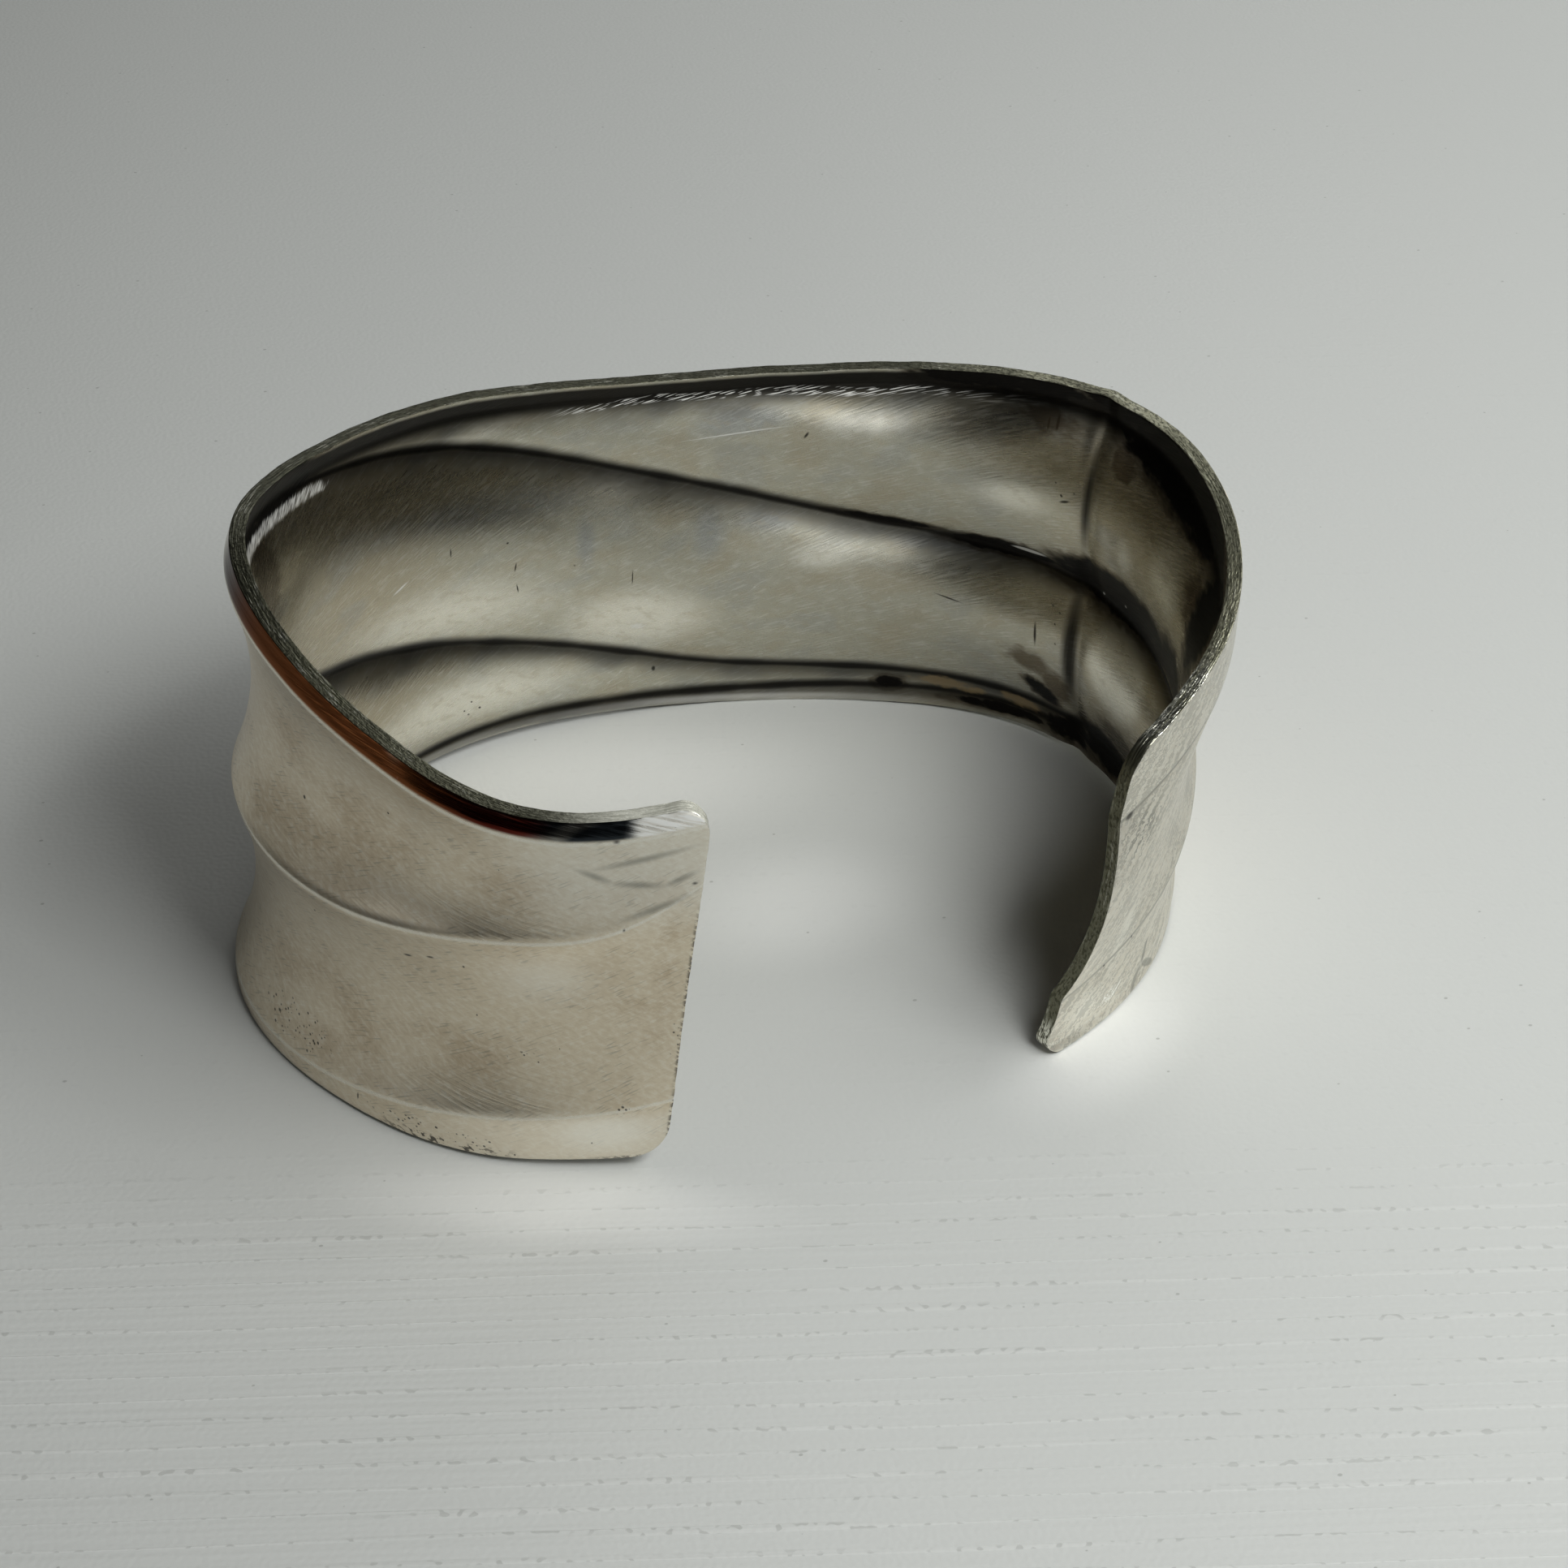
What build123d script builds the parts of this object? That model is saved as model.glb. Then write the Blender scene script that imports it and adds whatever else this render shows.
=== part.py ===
from build123d import *
import math
import os
from collections import namedtuple

# Open cuff bangle: one band of silver sheet, pressed with three wide slanting flutes, bent into an
# oval and left open at the front. It lies on its lower edge.
# +Z is up, X runs along the oval, the opening faces -Y, and the origin is on the surface that it
# lies on, under the middle of its box. Lengths are in millimetres.

# Plan of the band, seen from above
HALF_LENGTH = 32.2  # middle of the oval to the outside of the rim, along X
HALF_DEPTH = 24.0  # the same along Y
LEFT_END_ANGLE = -158.5  # degrees from the middle of the back to the left end, clockwise
RIGHT_END_ANGLE = 135.0  # the same to the right end, at the rim
LEFT_SLANT_ANGLE = 1.2  # degrees that the left end's foot stops short of its rim
RIGHT_SLANT_ANGLE = 6.5  # degrees that the right end's foot reaches past its rim
LEAN = 3.0  # the lower edge lies this far to the left of the rim

# The sheet and its relief
BAND_HEIGHT = 28.5  # rim above the surface at the middle of the back
SHEET = 1.0
FLUTE_DEPTH = 1.5  # hollow of a flute that is at least FLUTE_WIDTH wide
FLUTE_WIDTH = 11.0
RIDGE_STAND = 0.4  # ridges stand this far outside the rim and the lower edge
LEAST_FLUTE = 0.5  # narrowest strip left where two creases run together
LEFT_TOP_CORNER = 2.5  # radii of the band's four corners
LEFT_FOOT_CORNER = 2.4
RIGHT_TOP_CORNER = 2.0
RIGHT_FOOT_CORNER = 1.4

# Sections across the band, from the left end round the back to the right end.
# along: share of the way from end to end
# bulge: reach from the middle, as a share of the plain oval's
# rim, foot: upper and lower edge above the surface, as shares of BAND_HEIGHT
# splay: how far the lower edge stands outside the rim's line, as a share of RIDGE_STAND
# lip, upper, lower, flange: the four creases, as shares of the section's own height
# relief: depth of the flutes, as a share of FLUTE_DEPTH, less than zero where the band swells
Section = namedtuple("Section", "along bulge rim foot splay lip upper lower flange relief")
SECTIONS = (
    Section(0.00, 0.990, 0.985, 0.030, 0.8, 0.960, 0.960, 0.790, 0.170, 0.3),
    Section(0.04, 0.998, 0.943, 0.020, 0.8, 0.960, 0.960, 0.685, 0.140, 0.6),
    Section(0.08, 1.008, 0.937, 0.010, 0.8, 0.960, 0.960, 0.650, 0.120, 0.9),
    Section(0.16, 0.982, 1.045, 0.005, 0.8, 0.960, 0.960, 0.520, 0.050, 1.0),
    Section(0.25, 1.006, 1.180, 0.000, 0.8, 0.960, 0.960, 0.480, 0.035, 1.0),
    Section(0.33, 1.000, 1.130, 0.010, 0.8, 0.960, 0.940, 0.440, 0.030, 1.0),
    Section(0.42, 1.012, 1.060, 0.025, 0.4, 0.955, 0.875, 0.320, 0.030, 1.0),
    Section(0.50, 0.998, 1.000, 0.018, 0.0, 0.955, 0.775, 0.210, 0.030, 1.0),
    Section(0.58, 0.990, 0.975, 0.000, 0.0, 0.955, 0.665, 0.125, 0.035, 1.0),
    Section(0.67, 1.005, 0.980, 0.000, 0.0, 0.955, 0.550, 0.100, 0.045, 1.0),
    Section(0.75, 1.030, 0.995, 0.010, 0.3, 0.950, 0.490, 0.080, 0.045, 1.0),
    Section(0.83, 0.992, 1.000, 0.010, 0.7, 0.920, 0.435, 0.070, 0.040, 1.0),
    Section(0.92, 1.000, 0.895, 0.003, 1.4, 0.840, 0.300, 0.065, 0.035, 0.6),
    Section(1.00, 0.985, 0.775, 0.000, 2.1, 0.800, 0.200, 0.060, 0.030, -0.8),
)


def plan_point(row, first, last, shift):
    """Point on the oval at a section of an edge that runs from first to last, moved along X."""
    turn = first + (last - first) * row.along
    angle = math.radians(turn)
    oval = 1 / math.hypot(math.sin(angle) / HALF_LENGTH, math.cos(angle) / HALF_DEPTH)
    reach = row.bulge * oval
    return Vector(reach * math.sin(angle) + shift, reach * math.cos(angle), 0)


def flute(start, end, inward, relief):
    """Hollow between two creases: an arc that is deeper the wider the flute is."""
    width = (start - end).length
    depth = relief * FLUTE_DEPTH * min(1, width / FLUTE_WIDTH) ** 2
    middle = (start + end) / 2 + inward * depth
    return ThreePointArc(start, middle, end)


def section_face(row, rim_point, foot_point, outward):
    """Wall of the band at one section: lip, three flutes and flange, with the sheet's thickness."""
    rim = rim_point + Vector(0, 0, row.rim * BAND_HEIGHT)
    foot = foot_point + Vector(0, 0, row.foot * BAND_HEIGHT) + outward * (row.splay * RIDGE_STAND)
    height = (rim - foot).length
    least = LEAST_FLUTE / height
    shares = [row.lip, row.upper, row.lower, row.flange]
    shares[1] = min(shares[1], shares[0] - least)
    shares[2] = max(shares[2], shares[3] + least)
    stand = outward * RIDGE_STAND
    upright = foot_point + Vector(0, 0, row.foot * BAND_HEIGHT)
    creases = [upright + (rim - upright) * share + stand for share in shares]
    inward = outward * -SHEET
    edges = []
    for inset in (Vector(0, 0, 0), inward):
        lip, upper, lower, flange = [crease + inset for crease in creases]
        edges.append(Line(rim + inset, lip))
        edges.append(flute(lip, upper, -outward, row.relief))
        edges.append(flute(upper, lower, -outward, row.relief))
        edges.append(flute(lower, flange, -outward, row.relief))
        edges.append(Line(flange, foot + inset))
    edges.append(Line(rim, rim + inward))
    edges.append(Line(foot, foot + inward))
    return Face(Wire(edges))


def corner_cut(corner, along, across, outward, radius):
    """What is filed off a corner of the band to round it, from its two edges' directions."""
    angle = along.get_angle(across)
    half = math.radians(angle) / 2
    reach = radius / math.tan(half)
    centre = corner + (along + across) * (radius / math.sin(2 * half))
    bisector = (along + across).normalized()
    first = corner + along * reach
    second = corner + across * reach
    middle = centre - bisector * radius
    past_end = along * -radius
    past_edge = across * -radius
    waste = Polyline(second, second + past_end, corner + past_end + past_edge, first + past_edge, first)
    outline = Wire([ThreePointArc(first, middle, second), *waste.edges()])
    reach_through = SHEET + FLUTE_DEPTH + RIDGE_STAND
    blank = Face(outline).moved(Location(outward * reach_through))
    return Solid.extrude(blank, outward * (-2 * reach_through))


def build_cuff():
    """The whole band, lofted through its sections, with its corners rounded."""
    rim_points = [plan_point(row, LEFT_END_ANGLE, RIGHT_END_ANGLE, 0) for row in SECTIONS]
    foot_first = LEFT_END_ANGLE + LEFT_SLANT_ANGLE
    foot_last = RIGHT_END_ANGLE + RIGHT_SLANT_ANGLE
    foot_points = [plan_point(row, foot_first, foot_last, -LEAN) for row in SECTIONS]
    rim_curve = Edge.make_spline(rim_points, parameters=[row.along for row in SECTIONS])
    up = Vector(0, 0, 1)
    faces = []
    outwards = []
    for row, rim_point, foot_point in zip(SECTIONS, rim_points, foot_points):
        tangent = rim_curve.tangent_at(row.along, position_mode=PositionMode.PARAMETER)
        outward = up.cross(tangent).normalized()
        outwards.append(outward)
        faces.append(section_face(row, rim_point, foot_point, outward))
    band = Solid.make_loft([face.outer_wire() for face in faces])
    corners = (
        (0, 1, LEFT_TOP_CORNER, LEFT_FOOT_CORNER),
        (-1, -2, RIGHT_TOP_CORNER, RIGHT_FOOT_CORNER),
    )
    for end, beside, top_radius, foot_radius in corners:
        lift = [Vector(0, 0, SECTIONS[n].rim * BAND_HEIGHT) for n in (end, beside)]
        drop = [Vector(0, 0, SECTIONS[n].foot * BAND_HEIGHT) for n in (end, beside)]
        top = rim_points[end] + lift[0]
        foot = foot_points[end] + drop[0]
        top_along = (rim_points[beside] + lift[1] - top).normalized()
        foot_along = (foot_points[beside] + drop[1] - foot).normalized()
        down = (foot - top).normalized()
        band -= corner_cut(top, top_along, down, outwards[end], top_radius)
        band -= corner_cut(foot, foot_along, -down, outwards[end], foot_radius)
    return band


def stand_at_origin(solid):
    """The solid moved so that its box stands on the origin."""
    box = solid.bounding_box()
    middle = box.center()
    return solid.moved(Location(Vector(-middle.X, -middle.Y, -box.min.Z)))


cuff = stand_at_origin(build_cuff())
print("cuff volume", round(cuff.volume, 1), "valid", cuff.is_valid)
os.makedirs("parts", exist_ok=True)
export_step(cuff, "parts/cuff.step")
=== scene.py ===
"""Dresses the open cuff bangle: worn satin silver on a pale table, in window light from the right."""

import logging
import math
from collections.abc import Callable
from dataclasses import dataclass, field, fields
from enum import IntEnum
from functools import reduce
from operator import or_

import bmesh
import bpy
import numpy as np
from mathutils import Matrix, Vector, noise


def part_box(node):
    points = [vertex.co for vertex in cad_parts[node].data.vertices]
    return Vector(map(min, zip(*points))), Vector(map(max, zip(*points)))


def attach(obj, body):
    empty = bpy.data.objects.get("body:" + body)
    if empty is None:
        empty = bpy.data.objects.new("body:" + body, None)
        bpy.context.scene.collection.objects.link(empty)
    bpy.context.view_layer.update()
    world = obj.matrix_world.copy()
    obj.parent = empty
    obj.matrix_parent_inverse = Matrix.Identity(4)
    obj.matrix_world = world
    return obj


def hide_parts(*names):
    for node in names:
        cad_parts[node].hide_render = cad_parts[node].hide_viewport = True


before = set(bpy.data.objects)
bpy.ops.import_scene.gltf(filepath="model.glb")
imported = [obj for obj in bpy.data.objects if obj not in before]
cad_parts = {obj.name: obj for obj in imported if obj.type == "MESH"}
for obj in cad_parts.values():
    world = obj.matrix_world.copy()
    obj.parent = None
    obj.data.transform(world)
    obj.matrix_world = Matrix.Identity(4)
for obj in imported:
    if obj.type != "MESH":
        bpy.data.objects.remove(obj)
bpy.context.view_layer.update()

LOG = logging.getLogger("cuff")
MM = 0.001
UP = Vector((0, 0, 1))
BAND_UV = "band"
UV_MM = 100.0
FAR = 50.0
NEAR, OVER, UNDER, EDGE, LIP = "near", "over", "under", "edge", "lip"
SPREAD_SAMPLES = 1200
ROUNDING_WEIGHTS = (1, 2, 3, 2, 1)
GRAIN_SHIFT = (31.7, 17.3)
GRAIN_ROUGHNESS = 0.6
DOT_SHIFT = (7.1, 3.3)
DOT_TURN = 35.0
DOT_STRETCH = 1.4
DOT_SOFTNESS = 0.4
HALF = 0.5

Colour = tuple[float, float, float]
Span = tuple[float, float]
Stretch = tuple[float, float, float, float]


class Side(IntEnum):
    """Which surface of the sheet a face belongs to, and its material slot."""

    OUTSIDE = 0
    INSIDE = 1
    CUT = 2


@dataclass(frozen=True)
class Section:
    """One section across the band; heights are shares of the band's or of the section's own height."""

    along: float
    bulge: float
    rim: float
    foot: float
    splay: float
    lip: float
    upper: float
    lower: float
    flange: float
    relief: float


SECTIONS = (
    Section(0.00, 0.990, 0.985, 0.030, 0.8, 0.960, 0.960, 0.790, 0.170, 0.3),
    Section(0.04, 0.998, 0.943, 0.020, 0.8, 0.960, 0.960, 0.685, 0.140, 0.6),
    Section(0.08, 1.008, 0.937, 0.010, 0.8, 0.960, 0.960, 0.650, 0.120, 0.9),
    Section(0.16, 0.982, 1.045, 0.005, 0.8, 0.960, 0.960, 0.520, 0.050, 1.0),
    Section(0.25, 1.006, 1.180, 0.000, 0.8, 0.960, 0.960, 0.480, 0.035, 1.0),
    Section(0.33, 1.000, 1.130, 0.010, 0.8, 0.960, 0.940, 0.440, 0.030, 1.0),
    Section(0.42, 1.012, 1.060, 0.025, 0.4, 0.955, 0.875, 0.320, 0.030, 1.0),
    Section(0.50, 0.998, 1.000, 0.018, 0.0, 0.955, 0.775, 0.210, 0.030, 1.0),
    Section(0.58, 0.990, 0.975, 0.000, 0.0, 0.955, 0.665, 0.125, 0.035, 1.0),
    Section(0.67, 1.005, 0.980, 0.000, 0.0, 0.955, 0.550, 0.100, 0.045, 1.0),
    Section(0.75, 1.030, 0.995, 0.010, 0.3, 0.950, 0.490, 0.080, 0.045, 1.0),
    Section(0.83, 0.992, 1.000, 0.010, 0.7, 0.920, 0.435, 0.070, 0.040, 1.0),
    Section(0.92, 1.000, 0.895, 0.003, 1.4, 0.840, 0.300, 0.065, 0.035, 0.6),
    Section(1.00, 0.985, 0.775, 0.000, 2.1, 0.800, 0.200, 0.060, 0.030, -0.8),
)


class SmoothCurve:
    """A smooth curve through a few points, as a bent spring takes."""

    def __init__(self, at: list[float], values: list[float]) -> None:
        """Finds how much the curve bends at each point.

        Args:
            at: places in rising order.
            values: the curve's height at each.
        """
        self.at = np.array(at)
        self.values = np.array(values)
        gaps = np.diff(self.at)
        slopes = np.diff(self.values) / gaps
        count = len(at)
        system = np.eye(count)
        right = np.zeros(count)
        for row in range(1, count - 1):
            before, after = gaps[row - 1], gaps[row]
            system[row, row - 1 : row + 2] = before, 2 * (before + after), after
            right[row] = 6 * (slopes[row] - slopes[row - 1])
        self.bends = np.linalg.solve(system, right)

    def __call__(self, place: float) -> float:
        """Height of the curve.

        Args:
            place: where, on the scale of the points' places.

        Returns:
            The height.
        """
        last = len(self.at) - 2
        span = min(max(int(np.searchsorted(self.at, place)) - 1, 0), last)
        gap = self.at[span + 1] - self.at[span]
        right = (place - self.at[span]) / gap
        left = 1 - right
        low, high = self.bends[span], self.bends[span + 1]
        bow = ((left**3 - left) * low + (right**3 - right) * high) * gap**2 / 6
        return float(left * self.values[span] + right * self.values[span + 1] + bow)


@dataclass
class CuffForm:
    """The cuff's shape, in millimetres: where a share of its length and height lies."""

    half_length: float = 32.2
    half_depth: float = 24.0
    left_end: float = -158.5
    right_end: float = 135.0
    left_slant: float = 1.2
    right_slant: float = 6.5
    lean: float = 3.0
    band_height: float = 28.5
    sheet: float = 1.0
    flute_depth: float = 1.5
    flute_width: float = 11.0
    ridge_stand: float = 0.4
    least_flute: float = 0.3
    crest_round: float = 0.45
    groove_round: float = 0.3
    tangent_step: float = 0.002
    curves: dict[str, SmoothCurve] = field(default_factory=dict)
    known: dict[float, "Column"] = field(default_factory=dict)

    def __post_init__(self) -> None:
        """Draws a smooth curve through each column of the table of sections."""
        at = [section.along for section in SECTIONS]
        for column in fields(Section)[1:]:
            values = [getattr(section, column.name) for section in SECTIONS]
            self.curves[column.name] = SmoothCurve(at, values)

    def plan(self, along: float, first: float, last: float, shift: float) -> Vector:
        """Point on the oval of an edge that runs from the first angle to the last.

        Args:
            along: share of the way from the left end to the right end.
            first: angle of the edge's left end, in degrees.
            last: angle of its right end.
            shift: how far the edge is moved along X.

        Returns:
            The point, at height zero.
        """
        angle = math.radians(first + (last - first) * along)
        oval = 1 / math.hypot(math.sin(angle) / self.half_length, math.cos(angle) / self.half_depth)
        reach = self.curves["bulge"](along) * oval
        return Vector((reach * math.sin(angle) + shift, reach * math.cos(angle), 0))

    def rim_plan(self, along: float) -> Vector:
        """Point of the rim in plan."""
        return self.plan(along, self.left_end, self.right_end, 0)

    def column(self, along: float) -> "Column":
        """Everything that holds for one upright line of the band, worked out once.

        Args:
            along: share of the way from the left end to the right end.

        Returns:
            The column.
        """
        if along in self.known:
            return self.known[along]
        tangent = self.rim_plan(along + self.tangent_step) - self.rim_plan(along - self.tangent_step)
        rim = self.rim_plan(along) + UP * self.curves["rim"](along) * self.band_height
        first, last = self.left_end + self.left_slant, self.right_end + self.right_slant
        foot = self.plan(along, first, last, -self.lean)
        foot = foot + UP * self.curves["foot"](along) * self.band_height
        height = (rim - foot).length
        least = self.least_flute / height
        flange, lower, upper, lip = (self.curves[name](along) for name in ("flange", "lower", "upper", "lip"))
        creases = (flange, max(lower, flange + least), min(upper, lip - least), lip)
        outward = UP.cross(tangent).normalized()
        self.known[along] = Column(self, along, rim, foot, outward, height, creases)
        return self.known[along]


@dataclass
class Column:
    """One upright line of the band."""

    form: CuffForm
    along: float
    rim: Vector
    foot: Vector
    outward: Vector
    height: float
    creases: Stretch

    def sharp_relief(self, share: float) -> float:
        """How far the outside stands out, with sharp creases.

        Args:
            share: share of the column's height.

        Returns:
            The distance in millimetres.
        """
        form, (flange, _, _, lip) = self.form, self.creases
        if share >= lip:
            return form.ridge_stand * (1 - share) / (1 - lip)
        if share <= flange:
            splay = form.curves["splay"](self.along)
            return form.ridge_stand * (splay + (1 - splay) * share / flange)
        relief = form.curves["relief"](self.along) * form.flute_depth
        for low, high in zip(self.creases, self.creases[1:]):
            if share <= high:
                break
        width = (high - low) * self.height
        depth = relief * min(1, width / form.flute_width) ** 2
        across = (share - low) / (high - low)
        return form.ridge_stand - depth * 4 * across * (1 - across)

    def relief(self, share: float, rounding: float) -> float:
        """How far the outside stands out, with rounded creases.

        Args:
            share: share of the column's height.
            rounding: how far the rounding reaches to either side of a crease, in millimetres.

        Returns:
            The distance in millimetres.
        """
        reach = rounding / self.height
        middle = len(ROUNDING_WEIGHTS) // 2
        total = 0.0
        for number, weight in enumerate(ROUNDING_WEIGHTS):
            place = share + reach * (number - middle) / middle
            total += weight * self.sharp_relief(min(max(place, 0), 1))
        return total / sum(ROUNDING_WEIGHTS)

    def point(self, share: float, side: Side) -> Vector:
        """Point on one side of the sheet.

        Args:
            share: share of the column's height.
            side: which side.

        Returns:
            The point in millimetres.
        """
        base = self.foot + (self.rim - self.foot) * share
        if side is Side.INSIDE:
            return base + self.outward * (self.relief(share, self.form.groove_round) - self.form.sheet)
        return base + self.outward * self.relief(share, self.form.crest_round)


def spread(length: float, count: int, finer: list[tuple[float, float, float]], usual: float) -> np.ndarray:
    """Shares of a length at which lines of a grid lie, closer together near some places.

    Args:
        length: the length, in millimetres.
        count: number of spaces between the lines.
        finer: for each such place, where it is, how far it reaches and the spacing there.
        usual: the spacing elsewhere.

    Returns:
        The shares, from 0 to 1.
    """
    samples = np.linspace(0, length, SPREAD_SAMPLES)
    density = np.full_like(samples, 1 / usual)
    for place, reach, spacing in finer:
        near = np.exp(-(((samples - place) / reach) ** 4))
        density = np.maximum(density, 1 / usual + (1 / spacing - 1 / usual) * near)
    total = np.concatenate([[0], np.cumsum((density[1:] + density[:-1]) / 2)])
    return np.interp(np.linspace(0, total[-1], count + 1), total, samples) / length


@dataclass
class Corner:
    """A rounded corner of the band: which end and edge it is at, and its radius in millimetres."""

    right: bool
    top: bool
    radius: float
    zone: float = 2.2

    def rounded(self, from_end: float, from_edge: float) -> tuple[float, float]:
        """Where a point near the corner goes so that the outline follows the corner's arc.

        Args:
            from_end: distance from the band's end.
            from_edge: distance from its upper or lower edge.

        Returns:
            The two distances of the moved point.
        """
        size = self.radius * self.zone
        across, down = 1 - from_end / size, 1 - from_edge / size
        reach = max(across, down)
        if min(across, down) <= 0 or reach <= 0:
            return from_end, from_edge
        bend = 1 / self.zone
        slope = min(across, down) / reach
        flat = 1 - bend
        border = 1.0
        if slope > flat:
            half = flat * (1 + slope)
            square = 1 + slope**2
            border = (half + math.sqrt(half**2 - square * (2 * flat**2 - bend**2))) / square
        scale = 1 + (border - 1) * reach**3
        return size * (1 - across * scale), size * (1 - down * scale)


def operator(operation: str, reflected: bool = False) -> Callable[["Value", "Value | float"], "Value"]:
    """Makes the method behind one of Python's operators.

    Args:
        operation: the Math node's operation.
        reflected: whether the other value stands first.

    Returns:
        The method.
    """

    def apply(self: "Value", other: "Value | float") -> "Value":
        """Result of the operation."""
        pair = (other, self) if reflected else (self, other)
        return self.graph.math(operation, *pair)

    return apply


class Value:
    """Output of a shader node that Python's operators work on; | takes the larger, so it joins masks."""

    __add__ = operator("ADD")
    __radd__ = operator("ADD", True)
    __sub__ = operator("SUBTRACT")
    __rsub__ = operator("SUBTRACT", True)
    __mul__ = operator("MULTIPLY")
    __rmul__ = operator("MULTIPLY", True)
    __truediv__ = operator("DIVIDE")
    __or__ = operator("MAXIMUM")

    def __init__(self, graph: "Graph", socket: bpy.types.NodeSocket) -> None:
        """Keeps the socket and the graph that new nodes go to."""
        self.graph = graph
        self.socket = socket

    def __abs__(self) -> "Value":
        """Size without its sign."""
        return self.graph.math("ABSOLUTE", self)

    def rise(self, low: float, high: float) -> "Value":
        """Smooth step from 0 at low to 1 at high."""
        sockets = {"Value": self, "From Min": low, "From Max": high}
        return self.graph.node("ShaderNodeMapRange", {"interpolation_type": "SMOOTHSTEP"}, sockets)

    def fall(self, low: float, high: float) -> "Value":
        """Smooth step from 1 at low to 0 at high."""
        return 1 - self.rise(low, high)

    def between(self, stretch: Stretch) -> "Value":
        """Smooth steps up over the stretch's first two places and down over its last two."""
        return self.rise(*stretch[:2]) * self.fall(*stretch[2:])


@dataclass(frozen=True)
class Mark:
    """A soft oval on the band: its middle, half sizes (mm) and turn (degrees); core is its full part."""

    along: float
    up: float
    half_along: float
    half_up: float
    turn: float = 0.0
    core: float = 0.3

    def cover(self, along: np.ndarray, up: np.ndarray) -> np.ndarray:
        """How much of the mark covers each place.

        Args:
            along: millimetres from the band's left end, for each place.
            up: millimetres from its lower edge.

        Returns:
            Shares from 0 to 1.
        """
        turn = math.radians(self.turn)
        east, north = along - self.along, up - self.up
        across = (east * math.cos(turn) + north * math.sin(turn)) / self.half_along
        down = (north * math.cos(turn) - east * math.sin(turn)) / self.half_up
        inward = np.clip((1 - np.hypot(across, down)) / (1 - self.core), 0, 1)
        return inward * inward * (3 - 2 * inward)


@dataclass(frozen=True)
class Grain:
    """Noise on the band: length and height of its blots (mm), turn (degrees), detail and seed."""

    length: float
    height: float
    turn: float
    detail: float
    seed: float


@dataclass(frozen=True)
class Dots:
    """Scattered dots: spacing and largest radius (mm), the share that shows, and a seed."""

    space: float
    radius: float
    share: float
    seed: float


@dataclass(frozen=True)
class Ripple:
    """Slight unevenness of a surface: its size and depth (mm), and a seed."""

    size: float
    depth: float
    seed: float = 0.0

    def at(self, seat: Vector) -> float:
        """How far it lifts a place."""
        return noise.noise(seat / self.size + UP * self.seed) * self.depth


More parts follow.
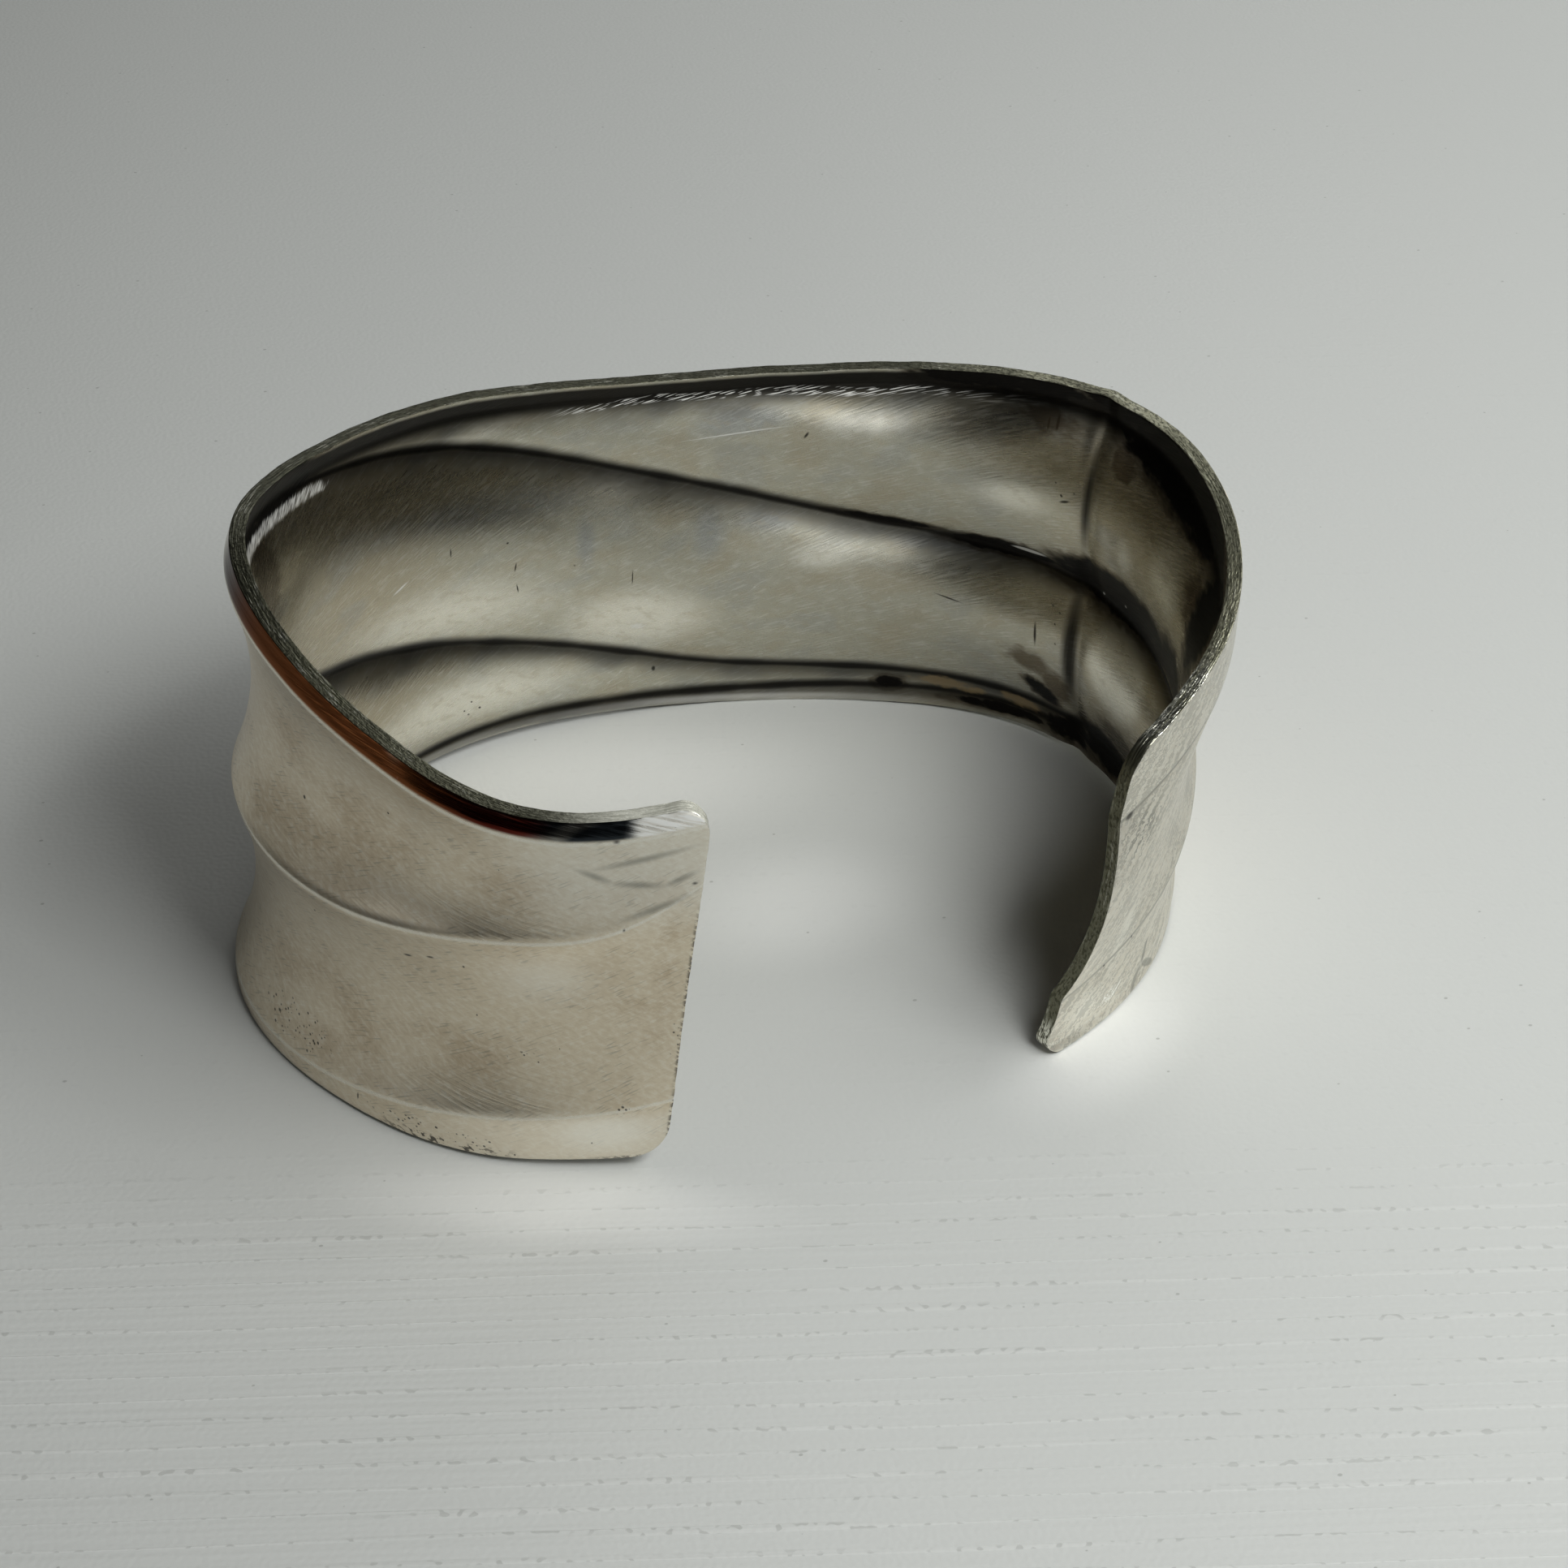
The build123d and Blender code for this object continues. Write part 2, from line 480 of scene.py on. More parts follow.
class Graph:
    """Builds one material's nodes."""

    def __init__(self, name: str) -> None:
        """Starts a material with a lone principled shader.

        Args:
            name: the material's name.
        """
        self.material = bpy.data.materials.new(name)
        self.material.use_nodes = True
        self.tree = self.material.node_tree
        self.shader = self.tree.nodes["Principled BSDF"]

    def plug(self, socket: bpy.types.NodeSocket, value: "Value | float | tuple[float, ...]") -> None:
        """Links a value to a socket, or sets a constant on it.

        Args:
            socket: the input.
            value: what goes into it; a colour comes without alpha.
        """
        if isinstance(value, Value):
            self.tree.links.new(value.socket, socket)
            return
        if socket.type == "RGBA":
            value = (*value, 1.0)
        socket.default_value = value

    def node(self, kind: str, settings: dict, sockets: dict, output: int | str = 0) -> Value:
        """Adds a node.

        Args:
            kind: the node's type.
            settings: its properties, set before its sockets.
            sockets: what goes into each socket, by name or number.
            output: which output to return.

        Returns:
            The output.
        """
        node = self.tree.nodes.new(kind)
        for name, setting in settings.items():
            setattr(node, name, setting)
        for name, value in sockets.items():
            self.plug(node.inputs[name], value)
        return Value(self, node.outputs[output])

    def math(self, operation: str, *values: Value | float) -> Value:
        """One step of arithmetic."""
        return self.node("ShaderNodeMath", {"operation": operation}, dict(enumerate(values)))

    def vector(self, operation: str, *values: Value | tuple[float, ...]) -> Value:
        """One step of arithmetic with vectors; a length is a plain value."""
        output = "Value" if operation == "LENGTH" else "Vector"
        return self.node("ShaderNodeVectorMath", {"operation": operation}, dict(enumerate(values)), output)

    def mix(self, share: Value | float, first: Value | Colour, second: Value | Colour) -> Value:
        """Blend from the first colour to the second."""
        return self.node("ShaderNodeMix", {"data_type": "RGBA"}, {0: share, 6: first, 7: second}, 2)

    def attribute(self, name: str) -> Value:
        """Value that the mesh carries."""
        return self.node("ShaderNodeAttribute", {"attribute_name": name}, {}, "Fac")

    def seat(self) -> Value:
        """Place on the band: millimetres from the left end and from the lower edge."""
        chart = self.node("ShaderNodeUVMap", {"uv_map": BAND_UV}, {})
        return self.vector("MULTIPLY", chart, (UV_MM, UV_MM, 0.0))

    def room(self) -> Value:
        """Place in the object's own frame, in millimetres."""
        place = self.node("ShaderNodeTexCoord", {}, {}, "Object")
        return self.vector("DIVIDE", place, (MM, MM, MM))

    def parts(self, place: Value) -> tuple[Value, Value]:
        """First two parts of a place."""
        along = self.node("ShaderNodeSeparateXYZ", {}, {0: place})
        return along, Value(self, along.socket.node.outputs[1])

    def fitted(self, place: Value, middle: Span, size: Span, turn: float = 0.0) -> Value:
        """Coordinates that are zero at a middle and grow by one over each size.

        Args:
            place: where on the surface.
            middle: the new origin, in millimetres.
            size: the new units along and up, in millimetres.
            turn: how far the new axes are turned, in degrees.

        Returns:
            The coordinates.
        """
        sockets = {
            "Vector": place,
            "Location": (*middle, 0.0),
            "Rotation": (0.0, 0.0, math.radians(turn)),
            "Scale": (*size, 1.0),
        }
        return self.node("ShaderNodeMapping", {"vector_type": "TEXTURE"}, sockets)

    def patch(self, place: Value, mark: Mark) -> Value:
        """Mask of a mark."""
        oval = self.fitted(place, (mark.along, mark.up), (mark.half_along, mark.half_up), mark.turn)
        return self.vector("LENGTH", oval).fall(mark.core, 1.0)

    def patches(self, place: Value, marks: tuple[Mark, ...]) -> Value:
        """Mask of several marks together."""
        return reduce(or_, (self.patch(place, mark) for mark in marks))

    def grain(self, place: Value, grain: Grain) -> Value:
        """Noise on a surface.

        Args:
            place: where on the surface.
            grain: the noise.

        Returns:
            Values about a half.
        """
        shift = (grain.seed * GRAIN_SHIFT[0], grain.seed * GRAIN_SHIFT[1])
        seat = self.fitted(place, shift, (grain.length, grain.height), grain.turn)
        sockets = {"Vector": seat, "Scale": 1.0, "Detail": grain.detail, "Roughness": GRAIN_ROUGHNESS}
        return self.node("ShaderNodeTexNoise", {"noise_dimensions": "2D"}, sockets)

    def dots(self, place: Value, dots: Dots) -> Value:
        """Mask of scattered dots: one place in each cell, and only some are taken.

        Args:
            place: where on the surface.
            dots: the dots.

        Returns:
            The mask.
        """
        shift = (dots.seed * DOT_SHIFT[0], dots.seed * DOT_SHIFT[1])
        seat = self.fitted(place, shift, (dots.space * DOT_STRETCH, dots.space), DOT_TURN * dots.seed)
        settings = {"voronoi_dimensions": "2D"}
        cell = self.node("ShaderNodeTexVoronoi", settings, {"Vector": seat, "Scale": 1.0}, "Color")
        reach = Value(self, cell.socket.node.outputs["Distance"])
        chance = self.node("ShaderNodeSeparateColor", {}, {0: cell})
        largest = dots.radius / dots.space
        radius = Value(self, chance.socket.node.outputs[1]) * largest
        taken = chance.rise(1 - dots.share, 1 - dots.share + 0.01)
        return (radius - reach).rise(0.0, largest * DOT_SOFTNESS) * taken

    def finish(
        self, colour: Value, roughness: Value | float, metallic: Value | float, height: Value, depth: float
    ) -> None:
        """Plugs the layers into the shader.

        Args:
            colour: base colour.
            roughness: roughness.
            metallic: share of metal.
            height: relief, in units of depth.
            depth: its size in millimetres.
        """
        sockets = {"Height": height, "Strength": 1.0, "Distance": depth * MM}
        normal = self.node("ShaderNodeBump", {}, sockets)
        wanted = {"Base Color": colour, "Roughness": roughness, "Metallic": metallic, "Normal": normal}
        for name, value in wanted.items():
            self.plug(self.shader.inputs[name], value)


@dataclass(frozen=True)
class Finish:
    """What the finishes of the sheet share: the mesh carries their broad marks, each under its name."""

    broad: tuple[str, ...] = ()

    def broad_marks(self) -> dict[str, tuple[Mark, ...]]:
        """Marks that are broad enough for the mesh to carry."""
        return {name: getattr(self, name) for name in self.broad}


@dataclass(frozen=True)
class SatinOutside(Finish):
    """Satin silver of the outside: brown stains, painted shade above a ridge, and painted highlights on the
    rubbed ridges, the flange and the right end.
    """

    silver: Colour = (0.72, 0.635, 0.495)
    pale: Colour = (0.70, 0.66, 0.57)
    brown: Colour = (0.51, 0.405, 0.28)
    black: Colour = (0.03, 0.027, 0.022)
    bright: Colour = (0.88, 0.87, 0.80)
    polished: Colour = (0.95, 0.95, 0.92)
    grey: Colour = (0.20, 0.20, 0.175)
    lip_brown: Colour = (0.22, 0.075, 0.026)
    lip_red: Colour = (0.12, 0.020, 0.013)
    lip_black: Colour = (0.030, 0.035, 0.040)
    roughness: float = 0.31
    brushed: float = 0.10
    relief_mm: float = 0.03
    clouds: Grain = Grain(5.5, 3.5, 10, 1, 1)
    mottle: Grain = Grain(0.65, 0.3, 25, 2, 2)
    brushing: Grain = Grain(2.6, 0.17, 12, 1, 6)
    ticks: Grain = Grain(1.1, 0.11, -28, 0, 9)
    swirl: Grain = Grain(3, 0.26, -49, 0, 8)
    swirl_size: Span = (1.6, 1.6)
    swirl_reach: tuple[float, float, float] = (1.3, 1.3, 0.0)
    fine_dots: Dots = Dots(0.27, 0.10, 0.6, 1)
    wide_dots: Dots = Dots(2.6, 0.12, 0.2, 2)
    right_end: Span = (124, 134)
    left_part: Span = (8, 16)
    top_part: Span = (17, 22)
    # Where the painted shade just above a ridge lies.
    shade_over: Stretch = (0.03, 0.2, 0.25, 0.8)
    shade_up: Span = (9, 11)
    shade_lip: Span = (-0.6, -0.1)
    shade_along: Stretch = (14, 20, 27, 36)
    ridge: Span = (0.05, 0.22)
    ridge_up: Span = (1.5, 2.5)
    # Where the painted highlight on the flange lies.
    flange_highlight_up: Span = (3, 4.4)
    flange_highlight_along: Span = (7, 20)
    dirty_end: Span = (3, 6)
    dirty_up: Span = (17, 21)
    dark_bottom_up: Span = (0.4, 0.8)
    dark_bottom_along: Stretch = (9, 13, 17, 20)
    below_lip: Span = (-0.2, -0.1)
    lip_start: Span = (-0.2, 0.05)
    dark_lip: Stretch = (4.4, 5.4, 36, 41)
    polished_lip: Span = (4.4, 5.8)
    lip_reddening: Span = (9.8, 12)
    lip_browning: Span = (13.5, 19)
    lip_blackening: Span = (30, 36)
    stains: tuple[Mark, ...] = (
        Mark(27, 18.5, 9, 4),
        Mark(23, 21.5, 6.5, 4.2),
        Mark(30, 24.5, 5, 3, 0, 0.2),
        Mark(31.4, 17.9, 2.6, 2.8),
        Mark(27.5, 3.2, 3.2, 1.7),
        Mark(26, 6, 7, 5),
        Mark(13, 20.5, 5, 3.2),
        Mark(15, 6.5, 7, 3),
        Mark(23, 4.5, 5, 4),
        Mark(1.8, 16.5, 1.2, 4.5),
        Mark(1.5, 11, 2, 4, 0, 0.1),
        Mark(3.6, 12, 2.6, 1.1),
    )
    smears: tuple[Mark, ...] = (
        Mark(4.2, 23.75, 4.6, 0.42, -14, 0),
        Mark(7.2, 22.45, 1.9, 0.40, 24, 0),
        Mark(4.3, 21.8, 2.6, 0.42, 3, 0),
        Mark(1.6, 22.15, 1.7, 0.38, -24, 0),
        Mark(2.9, 20.15, 3.4, 0.42, -22, 0),
        Mark(138.45, 2.5, 0.28, 1.2, 3, 0.6),
        Mark(137.5, 0.9, 1.5, 0.34, 35, 0.6),
        Mark(139.1, 0.8, 0.32, 1.1, 35, 0.6),
    )
    spots: tuple[Mark, ...] = (
        Mark(0.6, 21.8, 0.30, 0.16, 0, 0),
        Mark(6.1, 25.3, 0.35, 0.25, 0, 0),
        Mark(4.9, 18.6, 0.14, 0.18, 0, 0),
        Mark(20.9, 1.2, 0.09, 0.4),
        Mark(18.6, 13.6, 0.4, 0.13, -12),
        Mark(17, 14.2, 0.35, 0.13, -12),
        Mark(28.7, 2.8, 0.2, 0.14),
        Mark(147.2, 18.4, 0.5, 0.3, -25),
    )
    speckled: tuple[Mark, ...] = (
        Mark(15.5, 1, 6, 0.7, 1, 0.4),
        Mark(3.7, 4.2, 1.6, 0.5),
        Mark(10.2, 7.4, 1.6, 0.8),
        Mark(0.3, 9.4, 0.5, 2.4),
        Mark(27, 3, 4.5, 1.8),
    )
    swirled: tuple[Mark, ...] = (Mark(145.3, 16.4, 2.4, 2.6),)
    # Painted highlights: soft bright patches on both ends.
    painted_highlights: tuple[Mark, ...] = (
        Mark(143.2, 7.2, 1.7, 4.6, 0, 0),
        Mark(145, 2.4, 2.6, 2.4, 0, 0),
        Mark(9.5, 14, 5, 3.5, 0, 0),
        Mark(4.5, 2.2, 4.5, 2.2, 0, 0.2),
    )
    hatched: Mark = Mark(142.3, 1.8, 1.5, 0.8, -15)
    broad: tuple[str, ...] = ("stains", "speckled", "swirled", "painted_highlights")

    def material(self) -> bpy.types.Material:
        """Builds the shader.

        Returns:
            The material.
        """
        graph = Graph("satin_outside")
        place = graph.seat()
        along, up = graph.parts(place)
        near, over, edge, lip = (graph.attribute(name) for name in (NEAR, OVER, EDGE, LIP))
        right_end = along.rise(*self.right_end)

        clouds = graph.grain(place, self.clouds)
        mottle = graph.grain(place, self.mottle)
        brushing = graph.grain(place, self.brushing)
        stain = graph.attribute("stains") * clouds.rise(0.2, 0.7)
        brown = (stain * 0.7 | clouds.rise(0.45, 0.8) * 0.3) * (1 - right_end * 0.75)
        top_left = along.fall(*self.left_part) * up.rise(*self.top_part)
        colour = graph.mix(right_end | top_left * 0.8, self.silver, self.pale)
        colour = graph.mix(brown * 0.75, colour, self.brown)
        colour = graph.mix(mottle.rise(0.47, 0.68) * (stain * 0.3 + 0.2), colour, self.brown)
        colour = graph.mix(mottle.fall(0.3, 0.47) * 0.22, colour, self.bright)
        ticks = graph.grain(place, self.ticks)
        colour = graph.mix(ticks.rise(0.66, 0.8) * clouds.rise(0.4, 0.6) * 0.35, colour, self.grey)
        colour = graph.mix(ticks.fall(0.2, 0.34) * clouds.fall(0.4, 0.6) * 0.22, colour, self.bright)

        # Painted shade: a dark line just above a ridge near the left end, mixed towards black.
        shade_above_ridge = over.between(self.shade_over) * up.rise(*self.shade_up) * lip.fall(*self.shade_lip)
        shade_above_ridge = shade_above_ridge * along.between(self.shade_along)
        colour = graph.mix(shade_above_ridge * 0.6, colour, self.black)
        ridge = near.fall(*self.ridge)
        # Ridges rubbed smoother and given a painted highlight: a bright line along each ridge below the lip.
        ridge_polish_and_highlight = ridge * lip.fall(*self.below_lip) * 0.5
        # Painted highlight on the flange along the bottom of the left end.
        flange = up.fall(*self.flange_highlight_up) * along.fall(*self.flange_highlight_along)
        # Painted highlights: the marked patches and the right end are mixed towards bright, together with the
        # ridges and the flange; the upper left end is made a little brighter as well.
        painted_highlights = graph.attribute("painted_highlights") * 0.4 + right_end * 0.3
        colour = graph.mix(ridge_polish_and_highlight | (painted_highlights + flange * 0.3) | top_left * 0.2, colour, self.bright)

        drift = graph.fitted(place, (0.0, 0.0), self.swirl_size)
        drift = graph.node("ShaderNodeTexNoise", {}, {"Vector": drift}, "Color")
        drift = graph.vector("SUBTRACT", drift, (HALF, HALF, HALF))
        drift = graph.vector("MULTIPLY", drift, self.swirl_reach)
        swirl = graph.grain(graph.vector("ADD", place, drift), self.swirl)
        swirl_share = right_end * (graph.attribute("swirled") * 0.5 + 0.5)
        lines = swirl.rise(0.47, 0.6) * swirl_share * 0.65
        colour = graph.mix(lines | ridge * right_end * up.rise(*self.ridge_up) * 0.6, colour, self.grey)
        hatching = graph.patch(place, self.hatched) * swirl.fall(0.4, 0.5)
        colour = graph.mix(hatching, colour, self.polished)

        speckled = graph.attribute("speckled").rise(0.1, 0.5)
        specks = graph.dots(place, self.fine_dots) * speckled | graph.dots(place, self.wide_dots)
        dirty_end = along.fall(*self.dirty_end) * up.fall(*self.dirty_up)
        # Darker in flecks along the bottom edge of the left front.
        dark_bottom_edge = up.fall(*self.dark_bottom_up) * along.between(self.dark_bottom_along)
        dark_bottom_edge = dark_bottom_edge * mottle.rise(0.53, 0.6)
        end_dirt = edge.fall(0.0, 0.3) * dirty_end * mottle.rise(0.44, 0.52)
        end_dirt = end_dirt * (clouds.rise(0.3, 0.5) * 0.6 + 0.4)
        dirt = graph.patches(place, self.spots) | specks | end_dirt | dark_bottom_edge
        colour = graph.mix(graph.patches(place, self.smears) * 0.6, colour, self.grey)
        colour = graph.mix(dirt * 0.85, colour, self.black)

        on_lip = lip.rise(*self.lip_start)
        dark_lip = on_lip * along.between(self.dark_lip)
        lip_colour = graph.mix(along.rise(*self.lip_browning), self.lip_red, self.lip_brown)
        lip_colour = graph.mix(along.rise(*self.lip_reddening), self.lip_black, lip_colour)
        lip_colour = graph.mix(along.rise(*self.lip_blackening) * 0.85, lip_colour, self.lip_black)
        colour = graph.mix(dark_lip * clouds.rise(0.15, 0.4), colour, lip_colour)
        # Painted highlight on the rubbed left end of the lip: near-white and much less metallic, so it shows
        # bright under any light.
        polish_and_highlight = on_lip * along.fall(*self.polished_lip)
        polish_and_highlight = polish_and_highlight * (brushing.rise(0.4, 0.6) * 0.6 + 0.4)
        colour = graph.mix(polish_and_highlight, colour, self.polished)

        roughness = self.roughness + (brushing - HALF) * self.brushed + brown * 0.05 + dirt * 0.2
        roughness = roughness - on_lip * 0.14 + right_end * 0.08 - ridge_polish_and_highlight * 0.1 + polish_and_highlight * 0.3
        height = brushing * 0.3 + lines * 0.8
        graph.finish(colour, roughness, 1 - dirt * 0.6 - polish_and_highlight * 0.8, height, self.relief_mm)
        return graph.material


@dataclass(frozen=True)
class TarnishedInside(Finish):
    """Smoother silver of the inside: black in its grooves and round the right bend from tarnish and painted
    shade, with scratches.
    """

    silver: Colour = (0.47, 0.45, 0.37)
    warm: Colour = (0.44, 0.385, 0.28)
    cool: Colour = (0.365, 0.37, 0.355)
    brown: Colour = (0.12, 0.09, 0.055)
    gold: Colour = (0.30, 0.22, 0.12)
    black: Colour = (0.010, 0.009, 0.008)
    bright: Colour = (0.92, 0.91, 0.87)
    pale: Colour = (0.84, 0.81, 0.71)
    roughness: float = 0.27
    brushed: float = 0.12
    relief_mm: float = 0.03
    clouds: Grain = Grain(6, 3, 5, 1, 20)
    mottle: Grain = Grain(1.5, 0.7, -15, 2, 21)
    brushing: Grain = Grain(1.8, 0.14, 17, 1, 27)
    hairs: Grain = Grain(4, 0.4, 38, 0, 30)
    hair_runs: Grain = Grain(2, 1.2, 38, 0, 35)
    hair_width: float = 0.012
    hatching: Grain = Grain(1.5, 0.08, 10, 0, 25)
    scuffing: Grain = Grain(0.9, 0.08, 32, 1, 26)
    dots: Dots = Dots(0.9, 0.12, 0.7, 4)
    warm_left: Span = (52, 66)
    warm_right: Span = (108, 118)
    # Where the groove tarnish, the painted dark reflection below each groove and the painted shade under the
    # lip lie.
    groove: Span = (0.05, 0.95)
    groove_fade: Span = (0.2, 2.7)
    under_lip: Stretch = (-1.6, -0.2, 0.85, 1.2)
    foot_up: Span = (0.35, 0.65)
    foot_along: Stretch = (30, 40, 98, 106)
    hatch_up: float = 26.2
    hatch_half: Span = (0.14, 0.34)
    hatch_along: Stretch = (69, 75, 96.5, 110.5)
    scuff_lip: Stretch = (-2.2, -1.5, -1.2, -0.4)
    scuff_along: Stretch = (35.5, 39, 49, 52.5)
    # Black tarnish and painted dark reflection, mostly round the right bend and along its grooves.
    tarnish_and_dark_reflection: tuple[Mark, ...] = (
        Mark(121, 28, 13.5, 4.4, -13, 0.6),
        Mark(107, 27.7, 9.5, 1.7, 0, 0.5),
        Mark(130.5, 21.5, 3.2, 6),
        Mark(119, 14.6, 11, 2.7, 1, 0.5),
        Mark(127, 15.2, 4.5, 3, 0, 0.4),
        Mark(107.5, 14.4, 6.5, 0.95, -3, 0.4),
        Mark(99, 15.7, 7.5, 0.60, -9, 0.2),
        Mark(99.8, 1.6, 1.9, 1),
        Mark(111.3, 3.9, 2.6, 1.2, -35),
        Mark(108, 0.8, 6, 0.7),
        Mark(113.5, 1.2, 4, 1.6),
        Mark(117.5, 2, 4.5, 2.6, 0, 0.4),
        Mark(42.5, 32.3, 9.5, 2.2, -12, 0.6),
    )
    # Painted shade along the fold in the sheet.
    fold: tuple[Mark, ...] = (
        Mark(114.15, 20.6, 0.62, 5.8, -2, 0.15),
        Mark(113.75, 8.4, 0.95, 6.8, 3, 0.25),
    )
    browned: tuple[Mark, ...] = (
        Mark(116.9, 24.6, 1.5, 1.3, -30, 0.6),
        Mark(110.5, 25.4, 4.5, 1.6, -8, 0),
        Mark(110.4, 6.4, 3.6, 1.6, -12, 0),
        Mark(112.6, 5, 1.8, 2.4, 20, 0.2),
        Mark(41, 28, 3.2, 5, 0, 0.2),
        Mark(128, 21.5, 2.4, 3.4, 0, 0),
        Mark(120, 4.6, 4.5, 1.8, 0, 0.2),
    )
    gilded: tuple[Mark, ...] = (
        Mark(103.6, 2, 3.4, 0.8, -4, 0),
        Mark(105.9, 1.6, 1.6, 0.5, 6, 0),
        Mark(109.6, 1.7, 2.6, 0.7, -8, 0),
    )
    cooled: tuple[Mark, ...] = (
        Mark(87, 24.3, 5.5, 1.5, 5, 0.4),
        Mark(73.2, 16, 1.3, 3.2, 0, 0.2),
        Mark(84.4, 15.4, 2.2, 2.8, 0, 0.2),
        Mark(89.5, 16, 4, 1.2, -8, 0.2),
        Mark(66, 20.6, 12, 1.8, -9),
        Mark(103, 14.2, 6, 1.2, -2, 0.2),
    )
    lightened: tuple[Mark, ...] = (
        Mark(94.5, 13.2, 4, 1.5, 0, 0),
        Mark(107.5, 22.3, 4, 2.2, -6, 0.2),
        Mark(76, 19.8, 5, 1.8, -8, 0.1),
        Mark(65, 26.4, 4.5, 1.2, 0, 0),
        Mark(118.5, 18.7, 1.4, 1.8, 0, 0.2),
        Mark(118.9, 9.5, 4.2, 3.8, -10, 0.6),
        Mark(124, 20.8, 3, 3.4),
        # Painted highlight on the edge of the fold.
        Mark(115, 19.8, 0.35, 3.2, -2, 0.2),
        Mark(97, 24, 5, 1.4, 0, 0.1),
        Mark(108.5, 19.5, 4, 1.9, 0, 0.1),
        Mark(78, 8.5, 9, 4.2, 0, 0.25),
        Mark(62, 4.5, 16, 3.2, -5, 0.2),
        Mark(60, 13, 16, 4.5, -8, 0),
    )
    flecked: tuple[Mark, ...] = (
        Mark(64.5, 3.8, 5, 1.6),
        Mark(111.8, 21.2, 2.4, 1.8),
        Mark(112, 10, 2.2, 2.4),
        Mark(72.1, 13.4, 1.6, 1.4),
    )
    specks: tuple[Mark, ...] = (
        Mark(60.8, 18.5, 0.09, 0.5),
        Mark(66.8, 15.3, 0.10, 0.5, -10),
        Mark(67.05, 13.35, 0.09, 0.55, 15),
        Mark(77.45, 12.5, 0.08, 0.8),
        Mark(66.1, 17.5, 0.16, 0.12),
        Mark(80, 3.3, 0.25, 0.3),
        Mark(104, 10.2, 1.4, 0.08, -15),
        Mark(110.7, 8.9, 0.15, 1.2, 5),
        Mark(110.95, 25.4, 0.16, 0.75),
        Mark(110.3, 25.2, 0.12, 0.6),
        Mark(112.4, 20.2, 0.6, 0.14, 20),
        Mark(92.5, 23.2, 0.14, 0.4, -40),
    )
    # Painted glints: small bright highlights, some on fine scratches.
    glints: tuple[Mark, ...] = (
        Mark(109.4, 14.62, 1.5, 0.20, -2, 0.6),
        Mark(86.5, 23.4, 5.8, 0.07, 6),
        Mark(56, 17.7, 1, 0.14, 20),
        Mark(115.5, 13.7, 0.16, 0.16),
        Mark(118.1, 14.3, 0.16, 0.16),
    )
    scuff: Mark = Mark(78.3, 7.8, 1.6, 0.6, 0, 0.2)
    broad: tuple[str, ...] = ("tarnish_and_dark_reflection", "fold", "flecked", "browned", "gilded", "cooled", "lightened")

    def material(self) -> bpy.types.Material:
        """Builds the shader.

        Returns:
            The material.
        """
        graph = Graph("tarnished_inside")
        place = graph.seat()
        along, up = graph.parts(place)
        near, under, lip = (graph.attribute(name) for name in (NEAR, UNDER, LIP))

        clouds = graph.grain(place, self.clouds)
        mottle = graph.grain(place, self.mottle)
        brushing = graph.grain(place, self.brushing)
        ends = along.fall(*self.warm_left) | along.rise(*self.warm_right)
        colour = graph.mix((ends * 0.8) | clouds.rise(0.5, 0.75) * 0.5, self.silver, self.warm)
        cool = graph.attribute("cooled") | clouds.fall(0.3, 0.45) * 0.4
        colour = graph.mix(cool * 0.8, colour, self.cool)
        # Paler patches, one of them a painted highlight beside the fold.
        colour = graph.mix(graph.attribute("lightened") * 0.8, colour, self.pale)
        colour = graph.mix(mottle.rise(0.5, 0.75) * 0.3, colour, self.warm)
        colour = graph.mix(mottle.fall(0.25, 0.45) * 0.1, colour, self.bright)
        colour = graph.mix(brushing.rise(0.58, 0.72) * 0.18, colour, self.bright)
        hairs = abs(graph.grain(place, self.hairs) - HALF).fall(0.0, self.hair_width)
        hairs = hairs * graph.grain(place, self.hair_runs).rise(0.55, 0.65)
        colour = graph.mix(hairs * 0.3, colour, self.bright)
        dots = graph.dots(place, self.dots) * (graph.attribute("flecked") * 0.95 + 0.05)
        specks = graph.patches(place, self.specks) | dots
        colour = graph.mix(specks * 0.85, colour, self.black)

        # Tarnish and painted shade: black along each groove, a painted dark reflection fading downwards from
        # it, and painted shade under the lip.
        core = (near + (clouds - HALF) * 0.3).fall(*self.groove)
        fade = (under * (clouds * 0.8 + 0.6)).fall(*self.groove_fade)
        under_lip = lip.between(self.under_lip)
        browned, tarnish_and_dark_reflection, gilded = (graph.attribute(name) for name in ("browned", "tarnish_and_dark_reflection", "gilded"))
        ragged = (mottle - HALF) * 0.8
        # Black tarnish and painted dark reflection, with ragged edges and a brown rim.
        tarnish_and_dark_reflection = tarnish_and_dark_reflection + ragged * tarnish_and_dark_reflection.rise(0.0, 0.3)
        black_mask = tarnish_and_dark_reflection.rise(0.2, 0.9)
        brown_mask = (browned + ragged * browned.rise(0.0, 0.3)).rise(0.1, 0.8)
        brown_mask = brown_mask | tarnish_and_dark_reflection.rise(0.0, 0.5) * 0.8
        gold_mask = (gilded + ragged * 2 * gilded.rise(0.0, 0.4)).rise(0.15, 0.8)
        # All tarnish and painted shade together, mixed towards black below.
        tarnish_and_shade = (fade * fade * 0.8) | core * 0.98 | under_lip * 0.97 | black_mask
        # Painted shade in the fold.
        tarnish_and_shade = tarnish_and_shade | graph.attribute("fold") * 0.93
        colour = graph.mix(brown_mask * 0.8, colour, self.brown)
        colour = graph.mix(tarnish_and_shade, colour, self.black)
        colour = graph.mix(gold_mask * 0.7, colour, self.gold)
        foot = up.fall(*self.foot_up) * along.between(self.foot_along)
        colour = graph.mix(foot * 0.25, colour, self.bright)

